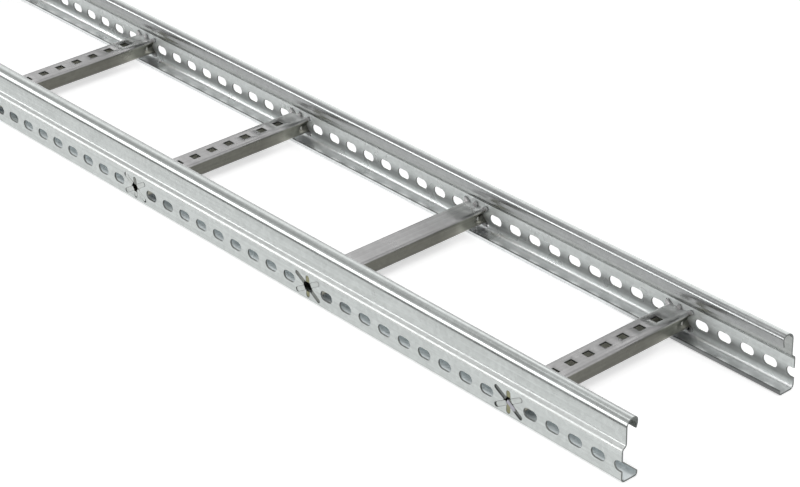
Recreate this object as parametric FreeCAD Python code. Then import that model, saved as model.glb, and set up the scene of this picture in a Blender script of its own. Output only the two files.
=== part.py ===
import FreeCAD, Part
import math
import os
from FreeCAD import Vector

# Cable ladder section: two roll-formed side rails, mirror images of each other,
# and tubular rungs whose crimped ends lock into star-shaped openings in the rails.
# All sizes are in millimetres. X runs along the ladder, Y across it, Z up,
# and the origin is at the middle of the rectangle that the ladder stands on.

# Section
SECTION_LENGTH = 3000.0
LADDER_WIDTH = 200.0
RUNG_SPACING = 250.0

# Side rail, measured inwards and up from the outer face of its lower web
RAIL_HEIGHT = 56.0
RAIL_SHEET = 1.5
FLANGE_WIDTH = 18.0
LIP_HEIGHT = 4.8
LOWER_WEB_TOP = 30.4
JOGGLE_DEPTH = 4.0
JOGGLE_RISE = 2.8
BEAD_WIDTH = 12.9
BEAD_SIDE = 7.0
TUCK_DROP = 4.4
TUCK_IN = 1.2

# Inside radii of the rail's bends
LIP_BEND = 1.5
FOOT_BEND = 2.8
JOGGLE_BEND = 1.2
BEAD_ROLL_BEND = 5.8
BEAD_BEND = 3.0
TUCK_BEND = 2.0

# Row of slots along the lower web
SLOTS_BETWEEN_RUNGS = 9
SLOT_ROW_HEIGHT = 15.2
SLOT_LENGTH = 15.0
SLOT_WIDTH = 9.0
SLOT_END_CHORDS = 3
END_SLOT_OVERRUN = 2.5

# Slots that take bolts, counted from each end of the rail and from its middle;
# their ends are true half circles, and the others' are a few chords
SPLICE_SLOTS = (1, 3)
BRACKET_SLOTS = (-1, 1)

# Rung tube
RUNG_WIDTH = 25.0
RUNG_HEIGHT = 15.0
RUNG_SHEET = 1.5
RUNG_CORNER_CUT = 1.5
RUNG_HOLES = 8
RUNG_HOLE_SIDE = 8.0
RUNG_HOLE_PITCH = 20.0
FIRST_TURNED_RUNG = 2
TURNED_RUNG_STEP = 3

# Crimped rung end, its ribs and the star that they lock into
CRIMP_LENGTH = 18.5
SIDE_FLUTE = 3.5
SOCKET_CORNER = 5.0
SOCKET_TOP = 3.8
RIB_CLEARANCE = 0.25
RIB_RECESS = 0.4
RIB_STAND_OUT = 1.0
TIP_GAP = 2.2

# How far a cutting tool runs past the metal that it cuts
CUT_MARGIN = 1.0

RUNG_COUNT = int(SECTION_LENGTH // RUNG_SPACING)
FIRST_RUNG_X = -RUNG_SPACING * (RUNG_COUNT - 1) / 2
SLOT_STEPS = SLOTS_BETWEEN_RUNGS + 1
SLOT_PITCH = RUNG_SPACING / SLOT_STEPS
RIB_THICKNESS = 2 * RUNG_SHEET
ARM_WIDTH = RIB_THICKNESS + 2 * RIB_CLEARANCE
CORNER_ANGLE = math.atan2(RUNG_HEIGHT, RUNG_WIDTH)
CORNER_REACH = math.hypot(RUNG_WIDTH, RUNG_HEIGHT) / 2
RUNG_LENGTH = LADDER_WIDTH - 2 * RAIL_SHEET


class Rib:
    """One folded rib of a rung's end, which lies in one arm of the star."""

    def __init__(self, angle, root, tip):
        self.along = (math.cos(angle), math.sin(angle))
        self.root = root
        self.tip = tip + RIB_STAND_OUT

    def outline(self, middle, width, extra):
        """The rib's four corners as seen along the rung."""
        beside = right_of(self.along)
        root = step(middle, self.along, self.root)
        tip = step(middle, self.along, self.tip + extra)
        return [
            step(root, beside, width / 2),
            step(tip, beside, width / 2),
            step(tip, beside, -width / 2),
            step(root, beside, -width / 2),
        ]


def direction(start, end):
    """Unit vector from one point of a section to another."""
    length = math.dist(start, end)
    return ((end[0] - start[0]) / length, (end[1] - start[1]) / length)


def step(point, way, distance):
    """A point moved some distance along a direction."""
    return (point[0] + way[0] * distance, point[1] + way[1] * distance)


def right_of(way):
    """The direction to the right of a direction of travel."""
    return (way[1], -way[0])


def turn(before, after):
    """Angle that a path turns at a corner, positive to the right."""
    cross = before[1] * after[0] - before[0] * after[1]
    dot = before[0] * after[0] + before[1] * after[1]
    return math.atan2(cross, dot)


def parallel_path(points, distance):
    """Corners of the path that runs at a distance to the right of another."""
    ways = [direction(a, b) for a, b in zip(points, points[1:])]
    moved = [step(points[0], right_of(ways[0]), distance)]
    for corner, before, after in zip(points[1:], ways, ways[1:]):
        beside = step(corner, right_of(before), distance)
        half = turn(before, after) / 2
        moved.append(step(beside, before, -distance * math.tan(half)))
    moved.append(step(points[-1], right_of(ways[-1]), distance))
    return moved


def bent_path(points, bends, right_extra, left_extra):
    """Point lists of the lines and arcs along one face of a bent strip.

    The radius of a corner is its inside bend plus what the strip's thickness
    adds on this face when the path turns to the right or to the left.
    """
    runs = []
    here = points[0]
    for before, corner, after, bend in zip(points, points[1:], points[2:], bends):
        way_in = direction(before, corner)
        way_out = direction(corner, after)
        angle = turn(way_in, way_out)
        radius = bend + (right_extra if angle > 0 else left_extra)
        reach = radius * math.tan(abs(angle) / 2)
        start = step(corner, way_in, -reach)
        end = step(corner, way_out, reach)
        centre = step(start, right_of(way_in), math.copysign(radius, angle))
        middle = step(centre, direction(centre, corner), radius)
        runs.append([here, start])
        runs.append([start, middle, end])
        here = end
    runs.append([here, points[-1]])
    return runs


def rail_corners():
    """Corners of the rail's outer face from its bottom lip to its top curl."""
    bead_depth = JOGGLE_DEPTH + BEAD_WIDTH
    bead_side = RAIL_HEIGHT - BEAD_SIDE
    return [
        (FLANGE_WIDTH, LIP_HEIGHT),
        (FLANGE_WIDTH, 0.0),
        (0.0, 0.0),
        (0.0, LOWER_WEB_TOP),
        (JOGGLE_DEPTH, LOWER_WEB_TOP + JOGGLE_RISE),
        (JOGGLE_DEPTH, RAIL_HEIGHT),
        (bead_depth, RAIL_HEIGHT),
        (bead_depth, bead_side),
        (bead_depth - TUCK_IN, bead_side - TUCK_DROP),
    ]


def rail_edge(run):
    """One straight or round edge of the rail's section, at the rail's end."""
    placed = [Vector(-SECTION_LENGTH / 2, y - LADDER_WIDTH / 2, z) for y, z in run]
    curve = Part.LineSegment if len(placed) == 2 else Part.Arc
    return curve(*placed).toShape()


def rail_blank():
    """The plain roll-formed rail before it is punched."""
    bends = [LIP_BEND, FOOT_BEND, JOGGLE_BEND, JOGGLE_BEND]
    bends += [BEAD_ROLL_BEND, BEAD_BEND, TUCK_BEND]
    outer = rail_corners()
    inner = parallel_path(outer, RAIL_SHEET)
    runs = bent_path(outer, bends, RAIL_SHEET, 0.0)
    runs.append([outer[-1], inner[-1]])
    runs += [run[::-1] for run in bent_path(inner, bends, 0.0, RAIL_SHEET)[::-1]]
    runs.append([inner[0], outer[0]])
    section = Part.Face(Part.Wire([rail_edge(run) for run in runs]))
    return section.extrude(Vector(SECTION_LENGTH, 0, 0))


def web_punch(outline):
    """A prism that cuts a closed outline through the near rail's lower web."""
    return Part.Face(outline).extrude(Vector(0, RAIL_SHEET + 2 * CUT_MARGIN, 0))


def web_point(x, z):
    """A point just outside the near rail's lower web."""
    return Vector(x, -LADDER_WIDTH / 2 - CUT_MARGIN, z)


def slot_end(x, side, angle):
    """A point on the half circle at one end of a slot."""
    radius = SLOT_WIDTH / 2
    along = SLOT_LENGTH / 2 - radius + radius * math.cos(angle)
    return web_point(x + side * along, SLOT_ROW_HEIGHT + side * radius * math.sin(angle))


def chord_slot(x):
    """A slot's outline with its round ends drawn as chords."""
    angles = [math.pi * (count / SLOT_END_CHORDS - 0.5) for count in range(SLOT_END_CHORDS + 1)]
    points = [slot_end(x, side, angle) for side in (1, -1) for angle in angles]
    return Part.makePolygon(points + points[:1])


def round_slot(x):
    """A slot's outline with true half circles at its ends."""
    edges = []
    for side in (1, -1):
        ends = [slot_end(x, side, angle) for angle in (-math.pi / 2, 0.0, math.pi / 2)]
        edges.append(Part.Arc(*ends).toShape())
        across = slot_end(x, -side, -math.pi / 2)
        edges.append(Part.LineSegment(ends[-1], across).toShape())
    return Part.Wire(edges)


def rung_ribs():
    """The six ribs: four towards the tube's corners, one up and one down."""
    corners = [CORNER_ANGLE, math.pi - CORNER_ANGLE, math.pi + CORNER_ANGLE, -CORNER_ANGLE]
    ribs = [Rib(angle, SOCKET_CORNER, CORNER_REACH) for angle in corners]
    ribs.insert(1, Rib(math.pi / 2, SOCKET_TOP, RUNG_HEIGHT / 2))
    ribs.insert(4, Rib(-math.pi / 2, SOCKET_TOP, RUNG_HEIGHT / 2))
    return ribs


def star(x):
    """The outline of the six-armed opening that takes the ribs of a rung."""
    middle = (x, SLOT_ROW_HEIGHT)
    arms = [rib.outline(middle, ARM_WIDTH, TIP_GAP) for rib in rung_ribs()]
    points = [web_point(*corner) for arm in arms for corner in arm]
    return Part.makePolygon(points + points[:1])


def slot_positions():
    """Places of the slots along the rail, the open ones at its ends among them."""
    reach = SECTION_LENGTH / 2 + END_SLOT_OVERRUN
    first = math.ceil((-reach - FIRST_RUNG_X) / SLOT_PITCH)
    last = math.floor((reach - FIRST_RUNG_X) / SLOT_PITCH)
    steps = [count for count in range(first, last + 1) if count % SLOT_STEPS]
    return [FIRST_RUNG_X + count * SLOT_PITCH for count in steps]


def bolt_slot_positions():
    """Places of the slots that take the bolts of splice plates and brackets."""
    row = slot_positions()
    middle = len(row) // 2
    bracket = [row[middle + count] for count in BRACKET_SLOTS]
    splice = [row[count] for count in SPLICE_SLOTS]
    return bracket + splice + [row[-1 - count] for count in SPLICE_SLOTS]


def rung_positions():
    """Places of the rungs along the ladder."""
    return [FIRST_RUNG_X + count * RUNG_SPACING for count in range(RUNG_COUNT)]


def side_rail():
    """The near rail, punched with its slots and stars."""
    bolted = bolt_slot_positions()
    plain = [x for x in slot_positions() if x not in bolted]
    outlines = [round_slot(x) for x in bolted]
    outlines += [chord_slot(x) for x in plain]
    outlines += [star(x) for x in rung_positions()]
    return rail_blank().cut(Part.makeCompound([web_punch(line) for line in outlines]))


def mirrored(quarter):
    """A closed outline from the corners of its first quarter."""
    upper = quarter + [(-x, z) for x, z in quarter[::-1]]
    whole = upper + [(x, -z) for x, z in upper[::-1]]
    return [point for before, point in zip(whole[-1:] + whole, whole) if point != before]


def tube_outline(side_flute=None):
    """The rung tube's outside, its sides pressed in between the ribs if a flute is given."""
    x = RUNG_WIDTH / 2
    z = RUNG_HEIGHT / 2
    corner = [(x, z - RUNG_CORNER_CUT), (x - RUNG_CORNER_CUT, z)]
    flute = [] if side_flute is None else [(x - side_flute, 0.0)]
    return mirrored(flute + corner)


def bore_outline():
    """The tube's inside."""
    x = RUNG_WIDTH / 2 - RUNG_SHEET
    z = RUNG_HEIGHT / 2 - RUNG_SHEET
    return mirrored([(x, z), (0.0, z)])


def socket_outline():
    """The opening that is left in the middle of a crimped end."""
    x = SOCKET_CORNER * math.cos(CORNER_ANGLE)
    z = SOCKET_CORNER * math.sin(CORNER_ANGLE)
    return mirrored([(x, z), (0.0, SOCKET_TOP)])


def cross_wire(outline, y):
    """A closed wire across the rung at one place along it."""
    points = [Vector(x, y, z) for x, z in outline]
    return Part.makePolygon(points + points[:1])


def cross_prism(outline, start, end):
    """A prism along the rung between two places."""
    return Part.Face(cross_wire(outline, start)).extrude(Vector(0, end - start, 0))


def tapered(outline, y, far_outline, far_y):
    """A solid between two outlines of as many corners, its sides in flat facets."""
    near = [Vector(x, y, z) for x, z in outline]
    far = [Vector(x, far_y, z) for x, z in far_outline]
    faces = [Part.Face(Part.makePolygon(ring + ring[:1])) for ring in (near, far)]
    for here, there in ((count - 1, count) for count in range(len(near))):
        for corners in (
            [near[here], near[there], far[there]],
            [near[here], far[there], far[here]],
        ):
            faces.append(Part.Face(Part.makePolygon(corners + corners[:1])))
    return Part.Solid(Part.makeShell(faces)).removeSplitter()


def crimped_end():
    """The near end of a rung: fluted walls, an open socket and six ribs."""
    end = -RUNG_LENGTH / 2
    start = end + CRIMP_LENGTH
    shell = tapered(tube_outline(SIDE_FLUTE), end, tube_outline(0.0), start)
    hollow = tapered(socket_outline(), end, bore_outline(), start)
    face = -LADDER_WIDTH / 2 + RIB_RECESS
    ribs = [
        cross_prism(rib.outline((0.0, 0.0), RIB_THICKNESS, 0.0), face, end)
        for rib in rung_ribs()
    ]
    return shell.cut(hollow).fuse(ribs)


def rung_holes():
    """The square holes along the tube's upper side."""
    first = -RUNG_HOLE_PITCH * (RUNG_HOLES - 1) / 2
    half = RUNG_HOLE_SIDE / 2
    floor = RUNG_HEIGHT / 2 - RUNG_SHEET - CUT_MARGIN
    depth = RUNG_SHEET + 2 * CUT_MARGIN
    return [
        Part.makeBox(
            RUNG_HOLE_SIDE,
            RUNG_HOLE_SIDE,
            depth,
            Vector(-half, first + count * RUNG_HOLE_PITCH - half, floor),
        )
        for count in range(RUNG_HOLES)
    ]


def rung():
    """A rung about its own axis, with its holes in the upper side."""
    reach = RUNG_LENGTH / 2 - CRIMP_LENGTH
    tube = cross_prism(tube_outline(), -reach, reach)
    tube = tube.cut(cross_prism(bore_outline(), -reach, reach))
    tube = tube.cut(Part.makeCompound(rung_holes()))
    near = crimped_end()
    far = near.mirror(Vector(0, 0, 0), Vector(0, 1, 0))
    return tube.fuse([near, far]).removeSplitter()


def placed_rung(blank, x, number):
    """A copy of the rung in its place, with every third one turned over."""
    placed = blank.copy()
    if (number - FIRST_TURNED_RUNG) % TURNED_RUNG_STEP == 0:
        placed.rotate(Vector(0, 0, 0), Vector(0, 1, 0), 180)
    placed.translate(Vector(x, 0, SLOT_ROW_HEIGHT))
    return placed


def ladder():
    """Every piece of the section by name."""
    right = side_rail()
    pieces = {
        "side_rail_right": right,
        "side_rail_left": right.mirror(Vector(0, 0, 0), Vector(0, 1, 0)),
    }
    blank = rung()
    for number, x in enumerate(rung_positions(), 1):
        pieces[f"rung_{number:02d}"] = placed_rung(blank, x, number)
    return pieces


os.makedirs("parts", exist_ok=True)
for name, piece in ladder().items():
    solid = piece.Solids[0] if len(piece.Solids) == 1 else piece
    solid.exportStep(f"parts/{name}.step")
    print(name, len(piece.Solids), "solid", round(piece.Volume), "cubic mm", piece.isValid())
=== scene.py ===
"""Dresses a galvanised cable ladder section: its two side rails, its rungs and a plain studio."""
import logging
import math
from collections.abc import Callable, Sequence
from dataclasses import dataclass, field
from enum import Enum

import bmesh
import bpy
from mathutils import Matrix, Vector
from mathutils.geometry import delaunay_2d_cdt


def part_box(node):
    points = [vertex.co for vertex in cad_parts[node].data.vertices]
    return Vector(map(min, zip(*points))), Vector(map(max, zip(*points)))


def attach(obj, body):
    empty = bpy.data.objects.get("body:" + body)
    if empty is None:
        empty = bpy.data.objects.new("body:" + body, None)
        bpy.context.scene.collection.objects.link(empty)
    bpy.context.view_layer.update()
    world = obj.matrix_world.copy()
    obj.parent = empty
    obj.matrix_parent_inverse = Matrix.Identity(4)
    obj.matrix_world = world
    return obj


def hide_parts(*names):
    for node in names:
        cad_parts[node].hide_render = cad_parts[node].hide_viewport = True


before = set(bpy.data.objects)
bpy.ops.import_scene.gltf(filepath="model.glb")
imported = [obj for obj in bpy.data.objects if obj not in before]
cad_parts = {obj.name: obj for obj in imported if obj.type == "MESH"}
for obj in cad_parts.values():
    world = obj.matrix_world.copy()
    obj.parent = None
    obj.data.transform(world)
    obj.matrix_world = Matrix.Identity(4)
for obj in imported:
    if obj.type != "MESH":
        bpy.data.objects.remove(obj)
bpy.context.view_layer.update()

LOG = logging.getLogger("cable_ladder")
MM = 0.001
WELD = 0.004 * MM
SLOT_ROW = 15.2 * MM
CREASE = math.radians(32.0)
COAT = "coat"

Flat = tuple[float, float]
Point = tuple[float, float, float]
Place = Callable[[Flat], Point]
Levels = Sequence[tuple[float, float]]
Socket = bpy.types.NodeSocket
Value = Socket | float | tuple[float, ...]


class Skin(Enum):
    """Which face of a sheet is meant."""

    OUTER = "outer"
    INNER = "inner"


class Coat(Enum):
    """Which finish a face gets."""

    SHEET = 0
    # Bare sheared edge, darker than the zinc, and painted shade on walls and faces deep in holes and
    # recesses.
    CUT = 1
    # Painted highlight: the joggle, a brighter and rougher copy of the sheet.
    STEP = 2
    # Painted shade: the bead's inner curl, a darker copy of the sheet.
    CURL = 3
    # Painted shade: the inner skin above the lower web, a darker copy of the sheet.
    SHADED_UPPER_INSIDE = 4
    # Inner web and flange: their finishes differ between the rails as painted light and shade.
    TROUGH = 5
    FLANGE = 6
    # Painted light and shade: the lip, brighter than the sheet and darker towards both rail ends.
    LIP = 7
    # Painted light: the rung's inside, matt, with a near-white tone that lifts its dim inside.
    INSIDE = 8
    # Ribs: lit and shaded copies of one pressed finish, painted light and shade, one with a painted
    # lilac sheen.
    OLIVE_SHADED_RIB = 9
    GREY_SHADED_RIB = 10
    LIT_RIB = 11
    LILAC_SHEEN_RIB = 12


class Side(Enum):
    """Which side rail is meant, seen along the ladder from its start."""

    RIGHT = "right"
    LEFT = "left"


Finishes = dict[Coat, bpy.types.Material]


# Plane geometry


def step(start: Flat, way: Flat, distance: float) -> Flat:
    """Returns the point at a distance from another one, along a unit vector."""
    return (start[0] + way[0] * distance, start[1] + way[1] * distance)


def heading(start: Flat, end: Flat) -> Flat:
    """Returns the unit vector from one point to another."""
    length = math.dist(start, end)
    return ((end[0] - start[0]) / length, (end[1] - start[1]) / length)


def right_of(way: Flat) -> Flat:
    """Returns the direction to the right of a direction of travel."""
    return (way[1], -way[0])


def turn(before: Flat, after: Flat) -> float:
    """Returns the angle that a path turns at a corner, positive to the right."""
    cross = before[1] * after[0] - before[0] * after[1]
    return math.atan2(cross, before[0] * after[0] + before[1] * after[1])


def polar(angle: float, reach: float) -> Flat:
    """Returns the point at an angle and a distance from the origin."""
    return (reach * math.cos(angle), reach * math.sin(angle))


def smooth(value: float) -> float:
    """Eases a value from 0 to 1 with level ends, and holds it there outside that range."""
    held = min(1.0, max(0.0, value))
    return held * held * (3.0 - 2.0 * held)


def spread(first: float, last: float, steps: int) -> list[float]:
    """Returns evenly spaced values, both ends among them."""
    return [first + (last - first) * count / steps for count in range(steps + 1)]


def inside(loop: Sequence[Flat], point: Flat) -> bool:
    """Tells whether a point lies inside a closed outline.

    Args:
        loop: Corners of the outline.
        point: The point.

    Returns:
        True if it lies inside.
    """
    crossings = 0
    for (ax, az), (bx, bz) in zip(loop, [*loop[1:], loop[0]]):
        if (az > point[1]) != (bz > point[1]):
            crossings += point[0] < ax + (point[1] - az) * (bx - ax) / (bz - az)
    return crossings % 2 == 1


# Meshes


@dataclass
class Draft:
    """A mesh in the making: faces are given by their corners and welded at the end."""

    corners: list[Point] = field(default_factory=list)
    faces: list[tuple[int, ...]] = field(default_factory=list)
    coats: list[int] = field(default_factory=list)

    def face(self, points: Sequence[Point], coat: Coat = Coat.SHEET) -> None:
        """Adds one face.

        Args:
            points: Its corners.
            coat: The coat that it gets.
        """
        first = len(self.corners)
        self.corners.extend(points)
        self.faces.append(tuple(range(first, first + len(points))))
        self.coats.append(coat.value)

    def band(
        self,
        one: Sequence[Point],
        other: Sequence[Point],
        closed: bool = False,
        coat: Coat = Coat.SHEET,
    ) -> None:
        """Joins two rows of points with a band of quads.

        Args:
            one: First row.
            other: Second row, with as many points.
            closed: Whether the band runs round from the last pair to the first.
            coat: The coat that the band gets.
        """
        count = len(one)
        for here in range(count if closed else count - 1):
            after = (here + 1) % count
            self.face([one[here], one[after], other[after], other[here]], coat)

    def panel(
        self,
        border: Sequence[Flat],
        holes: Sequence[Sequence[Flat]],
        extra: Sequence[Flat],
        place: Place,
        coat: Coat = Coat.SHEET,
    ) -> None:
        """Fills a flat panel with triangles and leaves its holes open.

        Args:
            border: Closed outline of the panel.
            holes: Closed outlines that stay open.
            extra: More points inside the panel, where it has relief.
            place: Sets a point of the panel in space.
            coat: The coat that the panel gets.
        """
        points: list[Flat] = list(border)
        edges: list[tuple[int, int]] = []
        starts = [0]
        for loop in holes:
            starts.append(len(points))
            points.extend(loop)
        for start, end in zip(starts, [*starts[1:], len(points)]):
            edges += [(at, start + (at + 1 - start) % (end - start)) for at in range(start, end)]
        points.extend(extra)
        made = delaunay_2d_cdt([Vector(point) for point in points], edges, [], 0, WELD)
        for corners in made[2]:
            flat = [(made[0][corner][0], made[0][corner][1]) for corner in corners]
            middle = (sum(x for x, _ in flat) / len(flat), sum(z for _, z in flat) / len(flat))
            if inside(border, middle) and not any(inside(loop, middle) for loop in holes):
                self.face([place(point) for point in flat], coat)

    def mesh(self, name: str) -> bpy.types.Mesh:
        """Welds the faces into a mesh.

        Args:
            name: Name of the mesh.

        Returns:
            The mesh, its faces turned outwards.
        """
        made = bpy.data.meshes.new(name)
        made.from_pydata(self.corners, [], self.faces)
        made.attributes.new(COAT, "INT", "FACE").data.foreach_set("value", self.coats)
        weld(made)
        return made


def weld(mesh: bpy.types.Mesh) -> None:
    """Welds a mesh's doubled points and turns its faces outwards.

    Args:
        mesh: The mesh.
    """
    work = bmesh.new()
    work.from_mesh(mesh)
    bmesh.ops.remove_doubles(work, verts=work.verts, dist=WELD)
    bmesh.ops.dissolve_degenerate(work, edges=work.edges, dist=WELD)
    bmesh.ops.recalc_face_normals(work, faces=work.faces)
    work.to_mesh(mesh)
    work.free()


def join(mesh: bpy.types.Mesh, *others: bpy.types.Mesh) -> None:
    """Adds the faces of other meshes to a mesh.

    Args:
        mesh: The mesh that grows.
        others: The other meshes.
    """
    work = bmesh.new()
    for part in (mesh, *others):
        work.from_mesh(part)
    work.to_mesh(mesh)
    work.free()


def dress(mesh: bpy.types.Mesh, finishes: Finishes) -> None:
    """Gives each face the finish of its coat, and shades the mesh smooth apart from its creases.

    Args:
        mesh: The mesh.
        finishes: The finish of each coat.
    """
    layer = mesh.attributes[COAT]
    coats = [entry.value for entry in layer.data]
    used = sorted(set(coats))
    mesh.materials.clear()
    for coat in used:
        mesh.materials.append(finishes[Coat(coat)])
    mesh.polygons.foreach_set("material_index", [used.index(coat) for coat in coats])
    mesh.attributes.remove(layer)
    mesh.shade_smooth()
    mesh.set_sharp_from_angle(angle=CREASE)


def add_object(name: str, mesh: bpy.types.Mesh) -> bpy.types.Object:
    """Adds an object to the scene.

    Args:
        name: Its name.
        mesh: Its mesh.

    Returns:
        The object.
    """
    made = bpy.data.objects.new(name, mesh)
    bpy.context.scene.collection.objects.link(made)
    return made


# Node trees


def grey(level: float) -> tuple[float, float, float, float]:
    """Returns the colour of a grey level."""
    return (level, level, level, 1.0)


@dataclass
class Wiring:
    """Adds nodes to a node tree and links them."""

    tree: bpy.types.NodeTree

    def fill(self, node: bpy.types.Node, values: dict[str | int, Value]) -> None:
        """Fills a node's inputs.

        Args:
            node: The node.
            values: A value for each input, or the socket that it is linked to.
        """
        for name, value in values.items():
            if isinstance(value, Socket):
                self.tree.links.new(value, node.inputs[name])
            else:
                node.inputs[name].default_value = value

    def add(
        self, kind: str, values: dict[str | int, Value] | None = None, **options: str
    ) -> bpy.types.Node:
        """Adds a node.

        Args:
            kind: Which node.
            values: A value for each input, or the socket that it is linked to.
            options: The node's options.

        Returns:
            The node.
        """
        node = self.tree.nodes.new(kind)
        for option, choice in options.items():
            setattr(node, option, choice)
        self.fill(node, values or {})
        return node

    def reckon(self, operation: str, one: Value, other: Value = 0.0) -> Socket:
        """Returns the result of an operation on one or two numbers."""
        return self.add("ShaderNodeMath", {0: one, 1: other}, operation=operation).outputs[0]

    def part(self, place: Socket, axis: str) -> Socket:
        """Returns one coordinate of a place or a direction."""
        return self.add("ShaderNodeSeparateXYZ", {"Vector": place}).outputs[axis]

    def blend(self, choice: Socket, low: Value, high: Value) -> Socket:
        """Returns the low level where the choice is 0, and the high one where it is 1."""
        return self.add("ShaderNodeMix", {"Factor": choice, "A": low, "B": high}).outputs["Result"]

    def remap(
        self, value: Socket, given: Flat, wanted: Flat = (0.0, 1.0), easing: str = "LINEAR"
    ) -> Socket:
        """Stretches one range of a value to another, and holds the value at its ends.

        Args:
            value: The value.
            given: The range that it has.
            wanted: The range that it gets.
            easing: How it goes from one end to the other.

        Returns:
            The new value.
        """
        ends = {"From Min": given[0], "From Max": given[1], "To Min": wanted[0], "To Max": wanted[1]}
        node = self.add("ShaderNodeMapRange", {"Value": value, **ends}, interpolation_type=easing)
        return node.outputs["Result"]

    def ramp(self, value: Socket, levels: Levels, span: Flat, easing: str = "LINEAR") -> Socket:
        """Looks up the level that belongs to a value.

        Args:
            value: The value.
            levels: Pairs of a value and its level, the first at the start of the span.
            span: The values at both ends of the ramp.
            easing: How the ramp goes from one level to the next.

        Returns:
            The level.
        """
        node = self.add("ShaderNodeValToRGB", {"Fac": self.remap(value, span)})
        node.color_ramp.interpolation = easing
        stops = node.color_ramp.elements
        stops.remove(stops[-1])
        stops[0].color = grey(levels[0][1])
        for place, level in levels[1:]:
            stops.new((place - span[0]) / (span[1] - span[0])).color = grey(level)
        return node.outputs["Color"]


@dataclass(frozen=True)
class RowOfCells:
    """A node tree that repeats one cell of a punched strip in a row and welds the copies."""

    name: str = "row_of_cells"

    def build(self) -> bpy.types.NodeTree:
        """Makes the node tree, or finds it if it is already made.

        Returns:
            The node tree.
        """
        if self.name in bpy.data.node_groups:
            return bpy.data.node_groups[self.name]
        tree = bpy.data.node_groups.new(self.name, "GeometryNodeTree")
        sockets = {
            "Cell": "Geometry",
            "Count": "Int",
            "Start": "Vector",
            "Pitch": "Vector",
            "Weld": "Float",
            "Finish": "Material",
        }
        for label, kind in sockets.items():
            tree.interface.new_socket(label, in_out="INPUT", socket_type=f"NodeSocket{kind}")
        tree.interface.new_socket("Strip", in_out="OUTPUT", socket_type="NodeSocketGeometry")
        wiring = Wiring(tree)
        given = wiring.add("NodeGroupInput").outputs
        places = {"Count": given["Count"], "Start Location": given["Start"], "Offset": given["Pitch"]}
        line = wiring.add("GeometryNodeMeshLine", places, mode="OFFSET").outputs["Mesh"]
        strip = wiring.add("GeometryNodeInstanceOnPoints", {"Points": line, "Instance": given["Cell"]})
        for kind, values in (
            ("GeometryNodeRealizeInstances", {}),
            ("GeometryNodeMergeByDistance", {"Distance": given["Weld"]}),
            ("GeometryNodeSetMaterial", {"Material": given["Finish"]}),
        ):
            strip = wiring.add(kind, {"Geometry": strip.outputs[0], **values})
        wiring.add("NodeGroupOutput", {"Strip": strip.outputs[0]})
        return tree

    def repeat(
        self,
        cell: bpy.types.Mesh,
        count: int,
        start: Point,
        pitch: Point,
        finish: bpy.types.Material,
    ) -> bpy.types.Mesh:
        """Repeats a cell.

        Args:
            cell: Mesh of one cell.
            count: How many copies.
            start: Place of the first copy.
            pitch: Step from one copy to the next.
            finish: Material of the strip.

        Returns:
            The row as one plain mesh.
        """
        holder = add_object(f"{cell.name}_row", cell)
        modifier = holder.modifiers.new("row", "NODES")
        modifier.node_group = self.build()
        values = {"Count": count, "Start": start, "Pitch": pitch, "Weld": WELD, "Finish": finish}
        for item in modifier.node_group.interface.items_tree:
            if item.in_out == "INPUT" and item.name in values:
                modifier[item.identifier] = values[item.name]
        graph = bpy.context.evaluated_depsgraph_get()
        made = bpy.data.meshes.new_from_object(holder.evaluated_get(graph))
        holder.modifiers.remove(modifier)
        bpy.data.objects.remove(holder)
        return made


# The side rails


@dataclass(frozen=True)
class RibStar:
    """The six arms at a rung's end, in the rung's own cross section."""

    tube_width: float = 25.0 * MM
    tube_height: float = 15.0 * MM
    socket_corner: float = 5.0 * MM
    socket_top: float = 3.8 * MM
    corner_reach: float = 18.2 * MM
    middle_reach: float = 10.6 * MM
    rib_width: float = 3.0 * MM
    clearance: float = 0.65 * MM
    tip_steps: int = 8

    def arms(self) -> list[tuple[float, float, float]]:
        """Returns each arm's angle, root and tip, in order round the star.

        Returns:
            The arms, the first one to the upper right.
        """
        corner = math.atan2(self.tube_height, self.tube_width)
        to_corner = (self.socket_corner, self.corner_reach)
        upright = (self.socket_top, self.middle_reach)
        return [
            (corner, *to_corner),
            (math.pi / 2, *upright),
            (math.pi - corner, *to_corner),
            (math.pi + corner, *to_corner),
            (1.5 * math.pi, *upright),
            (2 * math.pi - corner, *to_corner),
        ]

    def arm(self, angle: float, root: float, tip: float, half: float) -> list[Flat]:
        """Outlines one arm, its tip round.

        Args:
            angle: Direction of the arm.
            root: Distance of its inner end.
            tip: Distance of its outer end.
            half: Half its width.

        Returns:
            The outline from one root corner round the tip to the other.
        """
        along, across = polar(angle, 1.0), polar(angle + math.pi / 2, 1.0)
        inner, centre = ((along[0] * reach, along[1] * reach) for reach in (root, tip - half))
        bends = spread(-math.pi / 2, math.pi / 2, self.tip_steps)
        tip_points = [
            step(step(centre, along, half * math.cos(bend)), across, half * math.sin(bend))
            for bend in bends
        ]
        return [step(inner, across, -half), *tip_points, step(inner, across, half)]

    def opening(self, grow: float) -> list[Flat]:
        """Outlines the star-shaped opening.

        Args:
            grow: How much it is widened all round.

        Returns:
            The outline.
        """
        half = self.rib_width / 2 + self.clearance + grow
        loop: list[Flat] = []
        for angle, root, tip in self.arms():
            loop += self.arm(angle, root + grow, tip + grow, half)
        return loop


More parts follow.
